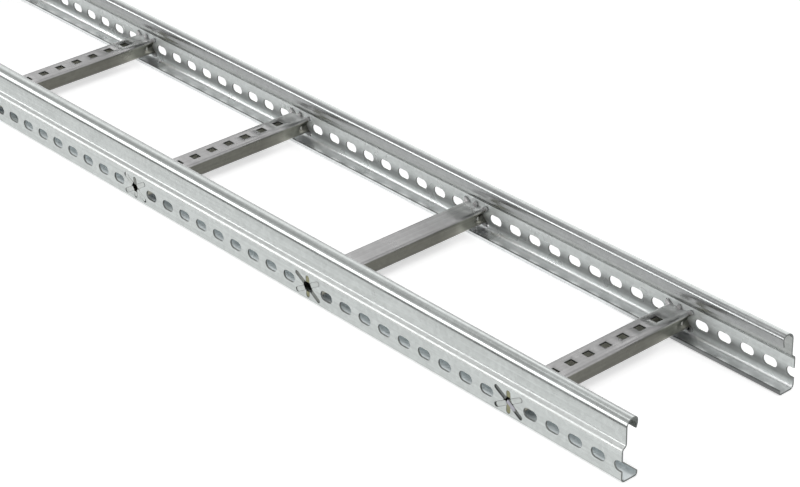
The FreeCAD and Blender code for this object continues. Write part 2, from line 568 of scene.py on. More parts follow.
@dataclass(frozen=True)
class RailSection:
    """The bent strip of a side rail, measured inwards and up from its lower web."""

    height: float = 56.0 * MM
    sheet: float = 1.5 * MM
    flange: float = 18.0 * MM
    lip: float = 4.8 * MM
    web_top: float = 30.4 * MM
    joggle_depth: float = 4.0 * MM
    joggle_rise: float = 2.8 * MM
    bead_width: float = 12.9 * MM
    bead_side: float = 7.0 * MM
    tuck_drop: float = 4.4 * MM
    tuck_in: float = 1.2 * MM
    bends: tuple[float, ...] = (1.5, 2.8, 2.6, 2.6, 5.8, 3.0, 2.0)
    bend_steps: int = 10
    bends_below_web: int = 2

    def corners(self) -> list[Flat]:
        """Lists the corners of the outer face.

        Returns:
            The corners from the lip to the top curl.
        """
        bead = self.joggle_depth + self.bead_width
        side = self.height - self.bead_side
        return [
            (self.flange, self.lip),
            (self.flange, 0.0),
            (0.0, 0.0),
            (0.0, self.web_top),
            (self.joggle_depth, self.web_top + self.joggle_rise),
            (self.joggle_depth, self.height),
            (bead, self.height),
            (bead, side),
            (bead - self.tuck_in, side - self.tuck_drop),
        ]

    def inner_corners(self) -> list[Flat]:
        """Lists the corners of the inner face, one sheet away from the outer face.

        Returns:
            The corners in the same order.
        """
        points = self.corners()
        ways = [heading(a, b) for a, b in zip(points, points[1:])]
        moved = [step(points[0], right_of(ways[0]), self.sheet)]
        for corner, before, after in zip(points[1:], ways, ways[1:]):
            beside = step(corner, right_of(before), self.sheet)
            moved.append(step(beside, before, -self.sheet * math.tan(turn(before, after) / 2)))
        moved.append(step(points[-1], right_of(ways[-1]), self.sheet))
        return moved

    def face(self, skin: Skin) -> list[list[Flat]]:
        """Samples one face of the strip.

        Args:
            skin: Which face.

        Returns:
            The start point, the points of each bend, and the end point, as lists.
        """
        points = self.corners() if skin is Skin.OUTER else self.inner_corners()
        groups = [[points[0]]]
        for before, corner, after, bend in zip(points, points[1:], points[2:], self.bends):
            way_in, way_out = heading(before, corner), heading(corner, after)
            angle = turn(way_in, way_out)
            thick = (angle > 0) == (skin is Skin.OUTER)
            radius = bend * MM + (self.sheet if thick else 0.0)
            start = step(corner, way_in, -radius * math.tan(abs(angle) / 2))
            hub = step(start, right_of(way_in), math.copysign(radius, angle))
            first = math.atan2(start[1] - hub[1], start[0] - hub[0])
            sweep = spread(first, first - angle, self.bend_steps)
            groups.append([step(hub, polar(at, 1.0), radius) for at in sweep])
        groups.append([points[-1]])
        return groups

    def parts(self, skin: Skin) -> tuple[list[Flat], list[Flat]]:
        """Samples one face below and above the flat lower web.

        Args:
            skin: Which face.

        Returns:
            The points below the web and those above it.
        """
        groups = self.face(skin)
        web = self.bends_below_web + 1
        below = [point for group in groups[:web] for point in group]
        above = [point for group in groups[web:] for point in group]
        return below, above

    def runs(self, skin: Skin) -> list[tuple[list[Flat], Coat]]:
        """Splits one face below and above the lower web into runs.

        Args:
            skin: Which face.

        Returns:
            The points and the coat of each run.
        """
        below, above = self.parts(skin)
        if skin is Skin.INNER:
            # The inner skin above the web takes painted shade, a darker copy of the sheet.
            return [(below, Coat.FLANGE), (above, Coat.SHADED_UPPER_INSIDE)]
        bend = self.bend_steps + 1
        lip_end, step_end, curl = bend, 2 * bend, 3 * bend
        return [
            # The lip: painted light and shade, brighter than the sheet and darker towards the rail ends.
            (below[: lip_end + 1], Coat.LIP),
            (below[lip_end:], Coat.SHEET),
            # The joggle: painted highlight, a brighter copy of the sheet.
            (above[:step_end], Coat.STEP),
            (above[step_end - 1 : curl + 1], Coat.SHEET),
            # The bead's inner curl: painted shade, a darker copy of the sheet.
            (above[curl:], Coat.CURL),
        ]

    def web_span(self) -> tuple[float, float]:
        """Returns the heights between which the lower web is flat."""
        below, above = self.parts(Skin.OUTER)
        return below[-1][1], above[0][1]


@dataclass
class SideRails:
    """The two roll-formed side rails, each a row of equal bays."""

    section: RailSection = field(default_factory=RailSection)
    star: RibStar = field(default_factory=RibStar)
    slot_length: float = 15.0 * MM
    slot_width: float = 9.0 * MM
    row_height: float = SLOT_ROW
    slots_between: int = 9
    slot_steps: int = 14
    edge_round: float = 0.22 * MM
    edge_steps: int = 2
    dish_depth: float = 0.3 * MM
    dish_reach: float = 13.0 * MM
    dish_cell: float = 2.0 * MM

    def __post_init__(self) -> None:
        """Reads the rails' length and place from the frame."""
        low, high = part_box("side_rail_right")
        first, second = (
            sum(corner[0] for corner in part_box(name)) / 2 for name in ("rung_01", "rung_02")
        )
        self.start, self.end = low[0], high[0]
        self.face_y = low[1]
        self.bay = second - first
        self.first_rung = first
        self.bays = round((self.end - self.start) / self.bay)

    def set_in_space(self, x: float, point: Flat) -> Point:
        """Returns a point of the section at a place along the near rail."""
        return (x, self.face_y + point[0], point[1])

    def slot_end(self, middle: float, side: int, grow: float) -> list[Flat]:
        """Samples the round end of a slot.

        Args:
            middle: Place of the slot's centre in the bay.
            side: 1 for the end towards the rail's end, -1 for the other.
            grow: How much wider than the slot.

        Returns:
            The points of the half circle, anticlockwise.
        """
        radius = self.slot_width / 2
        hub = (middle + side * (self.slot_length / 2 - radius), self.row_height)
        bends = spread(-math.pi / 2, math.pi / 2, self.slot_steps)
        return [step(hub, polar(bend, side * (radius + grow)), 1.0) for bend in bends]

    def openings(self, grow: float) -> list[list[Flat]]:
        """Outlines the slots and the star of one bay.

        Args:
            grow: How much wider they are.

        Returns:
            The outlines, the star last.
        """
        pitch = self.bay / (self.slots_between + 1)
        loops = []
        for count in range(1, (self.slots_between + 1) // 2):
            for middle in (-count * pitch, count * pitch):
                loops.append(self.slot_end(middle, 1, grow) + self.slot_end(middle, -1, grow))
        loops.append([(x, self.row_height + z) for x, z in self.star.opening(grow)])
        return loops

    def open_ends(self, grow: float) -> list[list[Flat]]:
        """Outlines the two half slots that the bay's ends cut through.

        Args:
            grow: How much wider they are.

        Returns:
            The outline at the right end and that at the left end.
        """
        half = self.bay / 2
        radius = self.slot_width / 2 + grow
        ends = []
        for side in (1, -1):
            arc = self.slot_end(side * half, -side, grow)
            first = (side * half, self.row_height + side * radius)
            last = (side * half, self.row_height - side * radius)
            ends.append([first, *arc, last])
        return ends

    def dish(self, point: Flat) -> float:
        """Returns how far the crimping has pressed the web inwards near the star."""
        away = math.hypot(point[0], point[1] - self.row_height) / self.dish_reach
        return self.dish_depth * (1.0 - smooth(away))

    def on_web(self, point: Flat, depth: float) -> Point:
        """Sets a point of the web in space, at a depth into the sheet."""
        return self.set_in_space(point[0], (depth + self.dish(point), point[1]))

    def edge_profile(self) -> list[Flat]:
        """Samples the punched edge's section.

        Returns:
            How much wider the opening is, and how deep in the sheet, at each row.
        """
        rows = [
            (self.edge_round * (1 - math.sin(at)), self.edge_round * (1 - math.cos(at)))
            for at in spread(0.0, math.pi / 2, self.edge_steps)
        ]
        return rows + [(grow, self.section.sheet - depth) for grow, depth in rows[::-1]]

    def bay_mesh(self) -> bpy.types.Mesh:
        """Builds one bay: the formed strip, its slots, its star and two half slots.

        Returns:
            The mesh, open at both ends.
        """
        draft = Draft()
        edges = []
        for skin in (Skin.OUTER, Skin.INNER):
            runs = self.section.runs(skin)
            for line, coat in runs:
                draft.band(*self.lengthwise(line), coat=coat)
            edges.append((runs[0][0][0], runs[-1][0][-1]))
            self.add_web(draft, skin)
        for pair in zip(*edges):
            draft.band(*self.lengthwise(pair), coat=Coat.CUT)
        profile = self.edge_profile()
        for (grow, depth), (more, deeper) in zip(profile, profile[1:]):
            for outlines, closed in ((self.openings, True), (self.open_ends, False)):
                for loop, after in zip(outlines(grow), outlines(more)):
                    one = [self.on_web(point, depth) for point in loop]
                    other = [self.on_web(point, deeper) for point in after]
                    draft.band(one, other, closed, Coat.CUT)
        return draft.mesh("rail_bay")

    def lengthwise(self, line: Sequence[Flat]) -> tuple[list[Point], list[Point]]:
        """Returns a line of the section at both ends of the bay."""
        first, last = ([self.set_in_space(x, p) for p in line] for x in (-self.bay / 2, self.bay / 2))
        return first, last

    def add_web(self, draft: Draft, skin: Skin) -> None:
        """Adds one face of the punched lower web.

        Args:
            draft: The bay's draft.
            skin: Which face.
        """
        half = self.bay / 2
        bottom, top = self.section.web_span()
        depth = 0.0 if skin is Skin.OUTER else self.section.sheet
        right, left = self.open_ends(self.edge_round)
        lower, upper = [(-half, bottom), (half, bottom)], [(half, top), (-half, top)]
        draft.panel(
            [*lower, *right[::-1], *upper, *left[::-1]],
            self.openings(self.edge_round),
            self.dish_points(),
            lambda point: self.on_web(point, depth),
            Coat.SHEET if skin is Skin.OUTER else Coat.TROUGH,
        )

    def dish_points(self) -> list[Flat]:
        """Lays a grid of points over the pressed web round the star, clear of every edge.

        Returns:
            The points.
        """
        points = []
        count = int(self.dish_reach / self.dish_cell)
        star = [(x, self.row_height + z) for x, z in self.star.opening(2 * self.edge_round)]
        bottom, top = self.section.web_span()
        for row in range(-count, count + 1):
            for column in range(-count, count + 1):
                point = (column * self.dish_cell, self.row_height + row * self.dish_cell)
                if bottom < point[1] < top and not inside(star, point):
                    points.append(point)
        return points

    def add_cap(self, draft: Draft, x: float) -> None:
        """Closes the sheet's cut end, above and below the half slot.

        Args:
            draft: The draft of the rail's ends.
            x: Place of the end.
        """
        for outer, inner in zip(self.section.parts(Skin.OUTER), self.section.parts(Skin.INNER)):
            outer_line = [self.set_in_space(x, point) for point in outer]
            inner_line = [self.set_in_space(x, point) for point in inner]
            draft.band(outer_line, inner_line, coat=Coat.CUT)
        for side, level in zip((-1, 1), self.section.web_span()):
            edge = [
                (depth, self.row_height + side * (self.slot_width / 2 + grow))
                for grow, depth in self.edge_profile()
            ]
            line = [(0.0, level), *edge, (self.section.sheet, level)]
            draft.face([self.set_in_space(x, point) for point in line], Coat.CUT)

    def rail_mesh(self, finish: bpy.types.Material) -> bpy.types.Mesh:
        """Builds the near rail as one closed mesh.

        Args:
            finish: Material of the strip.

        Returns:
            The mesh.
        """
        start = (self.first_rung, 0.0, 0.0)
        pitch = (self.bay, 0.0, 0.0)
        rail = RowOfCells().repeat(self.bay_mesh(), self.bays, start, pitch, finish)
        caps = Draft()
        for x in (self.start, self.end):
            self.add_cap(caps, x)
        join(rail, caps.mesh("rail_caps"))
        weld(rail)
        return rail

    def build(self, finishes: dict[Side, Finishes]) -> list[bpy.types.Object]:
        """Builds and places both rails.

        Args:
            finishes: The finish of each coat, for each side.

        Returns:
            The two objects.
        """
        near = self.rail_mesh(finishes[Side.RIGHT][Coat.SHEET])
        far = near.copy()
        far.transform(Matrix.Scale(-1.0, 4, (0.0, 1.0, 0.0)))
        far.flip_normals()
        rails = []
        for side, mesh in ((Side.RIGHT, near), (Side.LEFT, far)):
            dress(mesh, finishes[side])
            mesh.name = f"rail_{side.value}"
            rail = add_object(f"rail_{side.value}", mesh)
            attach(rail, "root")
            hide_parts(f"side_rail_{side.value}")
            LOG.info("side rail %s: %d faces", side.value, len(mesh.polygons))
            rails.append(rail)
        return rails


# The rungs


@dataclass(frozen=True)
class Rib:
    """One folded rib of a crimped end, as it shows in its arm of the star.

    Its start and end are distances from the star's centre and its recess a depth below the web,
    in mm, and its width is a share of its arm's.
    """

    arm: int
    start: float
    end: float
    recess: float
    coat: Coat
    width: float = 1.0


# Each rib's coat is a lit or shaded copy of one pressed finish: painted light and shade. Ribs in the
# dark cut coat, deep in their arms, are painted shade.
WIDE_OPEN_RIBS = (
    Rib(0, 5.0, 17.6, 0.04, Coat.LIT_RIB),
    Rib(1, 4.3, 10.5, 0.24, Coat.OLIVE_SHADED_RIB),
    Rib(2, 5.6, 17.6, 0.35, Coat.GREY_SHADED_RIB),
    Rib(3, 4.8, 16.9, 0.04, Coat.LIT_RIB),
    Rib(4, 5.0, 9.9, 0.24, Coat.OLIVE_SHADED_RIB),
    Rib(5, 6.2, 17.4, 0.40, Coat.GREY_SHADED_RIB),
)
FOLDED_OVER_RIBS = (
    Rib(0, 4.4, 17.6, 0.04, Coat.LIT_RIB),
    Rib(0, 1.8, 5.6, 0.30, Coat.GREY_SHADED_RIB, 0.9),
    Rib(1, 4.6, 10.5, 0.26, Coat.OLIVE_SHADED_RIB),
    Rib(2, 4.0, 17.9, 0.80, Coat.CUT),
    Rib(3, 2.8, 15.6, 0.08, Coat.LIT_RIB),
    Rib(3, 13.6, 17.9, 0.90, Coat.CUT),
    Rib(4, 2.0, 10.5, 0.28, Coat.OLIVE_SHADED_RIB),
    Rib(5, -0.6, 9.8, 0.10, Coat.GREY_SHADED_RIB),
    Rib(5, -1.6, 9.0, 0.02, Coat.LILAC_SHEEN_RIB, 0.92),
    Rib(5, 9.0, 17.8, 0.85, Coat.CUT),
)
TIGHT_RIBS = (
    Rib(0, 3.6, 17.5, 0.05, Coat.LIT_RIB),
    Rib(1, 3.2, 10.0, 0.20, Coat.GREY_SHADED_RIB),
    Rib(2, 4.6, 16.4, 0.06, Coat.LIT_RIB),
    Rib(3, 3.6, 17.0, 0.10, Coat.LIT_RIB),
    Rib(4, 4.4, 9.7, 0.08, Coat.LIT_RIB),
    Rib(5, 3.4, 16.8, 0.14, Coat.LIT_RIB),
)


@dataclass
class Rungs:
    """The punched rung tubes with their crimped ends."""

    star: RibStar = field(default_factory=RibStar)
    sheet: float = 1.5 * MM
    corner: float = 2.5 * MM
    corner_steps: int = 4
    width_steps: int = 16
    side_steps: int = 8
    crimp_steps: int = 12
    hollow_depth: float = 8.0 * MM
    hollow_width: float = 12.0 * MM
    hollow_height: float = 7.6 * MM
    hollow_quarter: tuple[Flat, ...] = ((1.0, 0.0), (0.806, 0.62), (0.3, 1.0))
    side_flute: float = 3.5 * MM
    side_flute_corner: float = 0.6
    side_flute_start: float = 0.72
    side_flute_run: float = 0.2
    top_flute: float = 0.25 * MM
    top_flute_middle: float = 0.5
    top_flute_reach: float = 0.42
    hole_side: float = 8.0 * MM
    hole_pitch: float = 20.0 * MM
    holes: int = 8
    hole_round: float = 0.5 * MM
    hole_steps: int = 3
    edge_round: float = 0.2 * MM
    edge_shoulder: float = 0.06 * MM
    web_sheet: float = 1.5 * MM
    rib_root: float = 2.0 * MM
    rib_gap: float = 0.06 * MM
    first_turned: int = 2
    turned_step: int = 3
    patterns: tuple[tuple[Rib, ...], ...] = (WIDE_OPEN_RIBS, FOLDED_OVER_RIBS, TIGHT_RIBS)

    def __post_init__(self) -> None:
        """Reads the rungs' length and names from the frame."""
        self.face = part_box("side_rail_left")[1][1]
        self.end = self.face - self.web_sheet
        self.names = sorted(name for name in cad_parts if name.startswith("rung_"))

    def section(self, inset: float) -> list[Flat]:
        """Samples the tube's outline, anticlockwise from the right end of its upper side.

        Args:
            inset: How far inside the tube's outer face.

        Returns:
            The points in the tube's cross section.
        """
        half_x = self.star.tube_width / 2 - inset
        half_z = self.star.tube_height / 2 - inset
        radius = self.corner - inset
        flat_x, flat_z = half_x - radius, half_z - radius
        points = [(x, half_z) for x in spread(flat_x, -flat_x, self.width_steps)]
        points += self.bend((-flat_x, flat_z), radius, math.pi / 2)
        points += [(-half_x, z) for z in spread(flat_z, -flat_z, self.side_steps)]
        points += self.bend((-flat_x, -flat_z), radius, math.pi)
        points += [(x, -half_z) for x in spread(-flat_x, flat_x, self.width_steps)]
        points += self.bend((flat_x, -flat_z), radius, 1.5 * math.pi)
        points += [(half_x, z) for z in spread(-flat_z, flat_z, self.side_steps)]
        points += self.bend((flat_x, flat_z), radius, 0.0)
        return points

    def bend(self, hub: Flat, radius: float, start: float) -> list[Flat]:
        """Samples a quarter turn between two sides, its end points left out."""
        angles = spread(start, start + math.pi / 2, self.corner_steps)[1:-1]
        return [step(hub, polar(angle, 1.0), radius) for angle in angles]

    def pressed(self, point: Flat, amount: float) -> Flat:
        """Presses a point of the outline in between the ribs.

        Args:
            point: The point of the tube's outline.
            amount: How far the crimp has gone, from 0 to 1.

        Returns:
            The pressed point.
        """
        x, z = point
        half_x, half_z = self.star.tube_width / 2, self.star.tube_height / 2
        across = abs(x) / half_x
        side = smooth(1.0 - abs(z) / (half_z - self.corner * self.side_flute_corner))
        on_side = smooth((across - self.side_flute_start) / self.side_flute_run)
        top = smooth(1.0 - abs(across - self.top_flute_middle) / self.top_flute_reach)
        x -= math.copysign(self.side_flute * side * on_side * amount, x)
        z -= math.copysign(self.top_flute * top * (1 - on_side) * amount, z)
        return (x, z)

    def hole(self, grow: float) -> list[Flat]:
        """Outlines a square hole with slightly rounded corners.

        Args:
            grow: How much wider it is.

        Returns:
            The outline.
        """
        half = self.hole_side / 2 - self.hole_round
        loop: list[Flat] = []
        corners = ((half, half), (-half, half), (-half, -half), (half, -half))
        for number, hub in enumerate(corners):
            start = number * math.pi / 2
            for angle in spread(start, start + math.pi / 2, self.hole_steps):
                loop.append(step(hub, polar(angle, 1.0), self.hole_round + grow))
        return loop

    def cell_mesh(self) -> bpy.types.Mesh:
        """Builds one pitch of the straight tube with its square hole.

        Returns:
            The mesh, open at both ends.
        """
        draft = Draft()
        half = self.hole_pitch / 2
        count = self.width_steps
        # The tube's inside takes painted light: a matt, near-white tone.
        for inset, coat in ((0.0, Coat.SHEET), (self.sheet, Coat.INSIDE)):
            ring = self.section(inset)
            line = ring[count:] + ring[:1]
            draft.band([(x, -half, z) for x, z in line], [(x, half, z) for x, z in line], coat=coat)
            top = ring[0][1]
            edge = [x for x, _ in ring[: count + 1]]
            border = [(x, half) for x in edge] + [(x, -half) for x in edge[::-1]]
            opening = self.hole(self.edge_round)
            draft.panel(border, [opening], [], lambda point, top=top: (*point, top), coat)
        rise = self.star.tube_height / 2
        rows = [(self.edge_round, 0.0), (self.edge_shoulder, self.edge_shoulder), (0.0, self.edge_round)]
        rows += [(grow, self.sheet - depth) for grow, depth in rows[::-1]]
        for (grow, depth), (more, deeper) in zip(rows, rows[1:]):
            one = [(x, y, rise - depth) for x, y in self.hole(grow)]
            other = [(x, y, rise - deeper) for x, y in self.hole(more)]
            draft.band(one, other, True, Coat.CUT)
        return draft.mesh("rung_cell")

    def end_mesh(self) -> bpy.types.Mesh:
        """Builds the fluted end at the ladder's left side.

        Returns:
            The mesh, open towards the tube.
        """
        draft = Draft()
        start = self.hole_pitch * self.holes / 2
        floor = self.end - self.hollow_depth
        tube = self.section(0.0)
        rings = []
        for place in spread(0.0, 1.0, self.crimp_steps):
            ring = [self.pressed(point, smooth(place)) for point in tube]
            rings.append(self.at(ring, start + (self.end - start) * place))
        for one, other in zip(rings, rings[1:]):
            draft.band(one, other, True)
        bore, hollow = self.section(self.sheet), self.hollow()
        draft.band(self.at(bore, start), self.at(bore, floor), True, Coat.INSIDE)
        draft.panel(bore, [hollow], [], lambda point: (point[0], floor, point[1]), Coat.INSIDE)
        # The hollow's walls and the end's rim take the dark cut coat: painted shade as well as bare
        # edge.
        draft.band(self.at(hollow, floor), self.at(hollow, self.end), True, Coat.CUT)
        rim = [(x, z) for x, _, z in rings[-1]]
        draft.panel(rim, [hollow], [], lambda point: (point[0], self.end, point[1]), Coat.CUT)
        return draft.mesh("rung_end")

    def at(self, line: Sequence[Flat], y: float) -> list[Point]:
        """Returns a line of the cross section at a place along the rung."""
        return [(x, y, z) for x, z in line]

    def hollow(self) -> list[Flat]:
        """Outlines the opening that the folded walls leave in the middle of a crimped end.

        Returns:
            The outline.
        """
        half_x, half_z = self.hollow_width / 2, self.hollow_height / 2
        quarter = [(half_x * x, half_z * z) for x, z in self.hollow_quarter]
        upper = quarter + [(-x, z) for x, z in quarter[::-1]]
        return upper + [(x, -z) for x, z in upper[-2:0:-1]]

    def rib_mesh(self, ribs: Sequence[Rib]) -> bpy.types.Mesh:
        """Builds the ribs of both ends, which keep their places when the tube is turned over.

        Args:
            ribs: The ribs that show in one star.

        Returns:
            Their mesh, about the rung's axis.
        """
        draft = Draft()
        half = self.star.rib_width / 2 + self.star.clearance - self.rib_gap
        arms = self.star.arms()
        back = self.end - self.rib_root
        for rib in ribs:
            angle = math.pi - arms[rib.arm][0]
            loop = self.star.arm(angle, rib.start * MM, rib.end * MM, half * rib.width)
            hidden, shown = self.at(loop, back), self.at(loop, self.face - rib.recess * MM)
            draft.band(hidden, shown, True)
            draft.face(hidden)
            draft.face(shown, rib.coat)
        left = draft.mesh("ribs")
        right = left.copy()
        right.transform(Matrix.Rotation(math.pi, 4, "Z"))
        join(left, right)
        return left

    def tube_mesh(self, finish: bpy.types.Material) -> bpy.types.Mesh:
        """Builds a rung about its own axis, its holes upwards.

        Args:
            finish: Material of the tube.

        Returns:
            The mesh, without its ribs.
        """
        start = (0.0, -self.hole_pitch * (self.holes - 1) / 2, 0.0)
        pitch = (0.0, self.hole_pitch, 0.0)
        tube = RowOfCells().repeat(self.cell_mesh(), self.holes, start, pitch, finish)
        left = self.end_mesh()
        right = left.copy()
        right.transform(Matrix.Scale(-1.0, 4, (0.0, 1.0, 0.0)))
        join(tube, left, right)
        weld(tube)
        return tube

    def build(self, finishes: Finishes) -> list[bpy.types.Object]:
        """Builds every rung in its place.

        Args:
            finishes: The finish of each coat.

        Returns:
            The rung objects.
        """
        tube = self.tube_mesh(finishes[Coat.SHEET])
        ribs = [self.rib_mesh(pattern) for pattern in self.patterns]
        rungs = []
        for number, name in enumerate(self.names, 1):
            low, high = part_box(name)
            x, z = (low[0] + high[0]) / 2, (low[2] + high[2]) / 2
            kind = (number - self.first_turned) % self.turned_step
            turned = kind == 0
            mesh = tube.copy()
            mesh.name = f"dressed_{name}"
            if turned:
                mesh.transform(Matrix.Rotation(math.pi, 4, "Y"))
            join(mesh, ribs[kind])
            mesh.transform(Matrix.Translation((x, 0.0, z)))
            dress(mesh, finishes)
            piece = add_object(f"dressed_{name}", mesh)
            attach(piece, "root")
            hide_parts(name)
            way = "turned over" if turned else "holes up"
            LOG.info("%s: %d faces, %s", name, len(mesh.polygons), way)
            rungs.append(piece)
        return rungs


# Finishes


LENGTHWISE = (3.0, 500.0, 500.0)
CROSSWISE = (500.0, 3.0, 500.0)
EVEN = (300.0, 300.0, 300.0)


@dataclass(frozen=True)
class Galvanised:
    """A galvanised steel sheet with drawn streaks, faint spangle and duller patches.

    The levels by height, reach and length are painted light and shade: pairs of a distance in mm
    and a factor, in rising order from 0: above the foot, and across and along from the ladder's
    middle. A flank shade, where given, is a darker tone painted on a rung's flanks as shade.
    """

    name: str
    tone: tuple[float, float, float]
    along: tuple[float, float, float]
    flank_shade: tuple[float, float, float] | None = None
    roughness: float = 0.36
    streak: float = 0.10
    spangle: float = 0.04
    bump: float = 0.05
    metallic: float = 1.0
    painted_light_by_height: Levels = ()
    painted_light_by_reach: Levels = ()
    painted_light_by_length: Levels = ()
    streak_detail: float = 6.0
    patch_scale: float = 28.0
    patch_detail: float = 3.0
    patch_range: Flat = (0.3, 0.7)
    patch_gloss: float = 0.05
    patch_dullness: float = 0.08
    flake_scale: float = 260.0
    pattern_range: Flat = (0.25, 0.75)
    relief: float = 0.2 * MM
    flank_shade_edge: Flat = (5.2 * MM, 6.8 * MM)

    def material(self) -> bpy.types.Material:
        """Makes the node-based material.

        Returns:
            The material.
        """
        made = bpy.data.materials.new(self.name)
        made.use_nodes = True
        wiring = Wiring(made.node_tree)
        place = wiring.add("ShaderNodeTexCoord").outputs["Object"]
        drawn = wiring.add("ShaderNodeMapping", {"Vector": place, "Scale": self.along}).outputs["Vector"]
        streaks = self.noise(wiring, drawn, 1.0, self.streak_detail)
        patches = self.noise(wiring, place, self.patch_scale, self.patch_detail)
        flakes = wiring.add("ShaderNodeTexVoronoi", {"Vector": place, "Scale": self.flake_scale})
        grain = self.varied(wiring, flakes.outputs["Color"], self.spangle)
        level = wiring.reckon("MULTIPLY", self.varied(wiring, streaks, self.streak), grain)
        for axis, levels in (("Z", self.painted_light_by_height), ("Y", self.painted_light_by_reach), ("X", self.painted_light_by_length)):
            if levels:
                level = wiring.reckon("MULTIPLY", level, self.banded(wiring, place, axis, levels))
        tone = self.with_flank_shade(wiring, place) if self.flank_shade else self.tone
        colour = wiring.add("ShaderNodeVectorMath", {0: tone, "Scale": level}, operation="SCALE")
        gloss_range = (self.roughness - self.patch_gloss, self.roughness + self.patch_dullness)
        relief = {"Strength": self.bump, "Distance": self.relief, "Height": streaks}
        shader = {
            "Base Color": colour.outputs["Vector"],
            "Metallic": self.metallic,
            "Roughness": wiring.remap(patches, self.patch_range, gloss_range),
            "Normal": wiring.add("ShaderNodeBump", relief).outputs["Normal"],
        }
        wiring.fill(made.node_tree.nodes["Principled BSDF"], shader)
        return made

    def with_flank_shade(self, wiring: Wiring, place: Socket) -> Socket:
        """Returns the colour of a rung, with painted shade: darker on its flanks than above and below.

        Args:
            wiring: The material's nodes.
            place: The place on the ladder.

        Returns:
            The colour.
        """
        level = wiring.reckon("SUBTRACT", wiring.part(place, "Z"), SLOT_ROW)
        face = wiring.remap(wiring.reckon("ABSOLUTE", level), self.flank_shade_edge, easing="SMOOTHSTEP")
        colours = {"Factor": face, 6: (*self.flank_shade, 1.0), 7: (*self.tone, 1.0)}
        return wiring.add("ShaderNodeMix", colours, data_type="RGBA").outputs[2]

    def banded(self, wiring: Wiring, place: Socket, axis: str, levels: Levels) -> Socket:
        """Returns a factor of painted light and shade that changes with the distance from the ladder's
        foot or middle.

        Args:
            wiring: The material's nodes.
            place: The place on the ladder.
            axis: Z for the height, Y and X for the distance across and along.
            levels: Pairs of distance in mm and factor.

        Returns:
            The factor.
        """
        marks = [(distance * MM, level) for distance, level in levels]
        away = wiring.reckon("ABSOLUTE", wiring.part(place, axis))
        return wiring.ramp(away, marks, (0.0, marks[-1][0]))

    def noise(self, wiring: Wiring, place: Socket, scale: float, detail: float) -> Socket:
        """Returns a noise of a scale and detail."""
        values = {"Vector": place, "Scale": scale, "Detail": detail}
        return wiring.add("ShaderNodeTexNoise", values).outputs["Fac"]

    def varied(self, wiring: Wiring, pattern: Socket, amount: float) -> Socket:
        """Turns a pattern into a factor that varies by an amount about one."""
        return wiring.remap(pattern, self.pattern_range, (1.0 - amount, 1.0 + amount))


RAIL_SHEET = Galvanised("galvanised_rail_sheet", (0.54, 0.566, 0.556), LENGTHWISE, roughness=0.2)
# Painted shade: the near rail's inside, a darker copy of the far rail's inside finish.
NEAR_INSIDE = Galvanised(
    "inside_of_right_rail_painted_shade",
    (0.72, 0.77, 0.78),
    LENGTHWISE,
    roughness=0.3,
    streak=0.05,
    metallic=0.35,
)
# Painted light and shade: the far rail's inside, a brighter copy of the near rail's, darkest about 9 to
# 13 mm above the foot.
FAR_INSIDE = Galvanised(
    "inside_of_left_rail_painted_light_and_shade",
    (0.90, 0.935, 0.925),
    LENGTHWISE,
    roughness=0.3,
    streak=0.05,
    metallic=0.35,
    painted_light_by_height=(
        (0.0, 1.0), (6.0, 0.85), (9.0, 0.42), (13.0, 0.36), (17.5, 0.75), (21.0, 1.0), (31.0, 0.85)
    ),
)
# Painted light and shade: the far rail's flange, a brighter copy of the near rail's inside, darker where
# the end rungs meet it, about 1380 mm from the middle.
FAR_FLANGE = Galvanised(
    "flange_of_left_rail_painted_light_and_shade",
    (0.95, 0.97, 0.97),
    LENGTHWISE,
    roughness=0.3,
    streak=0.04,
    painted_light_by_length=((0.0, 1.0), (1330.0, 1.0), (1380.0, 0.75), (1420.0, 0.9), (1500.0, 1.0)),
)
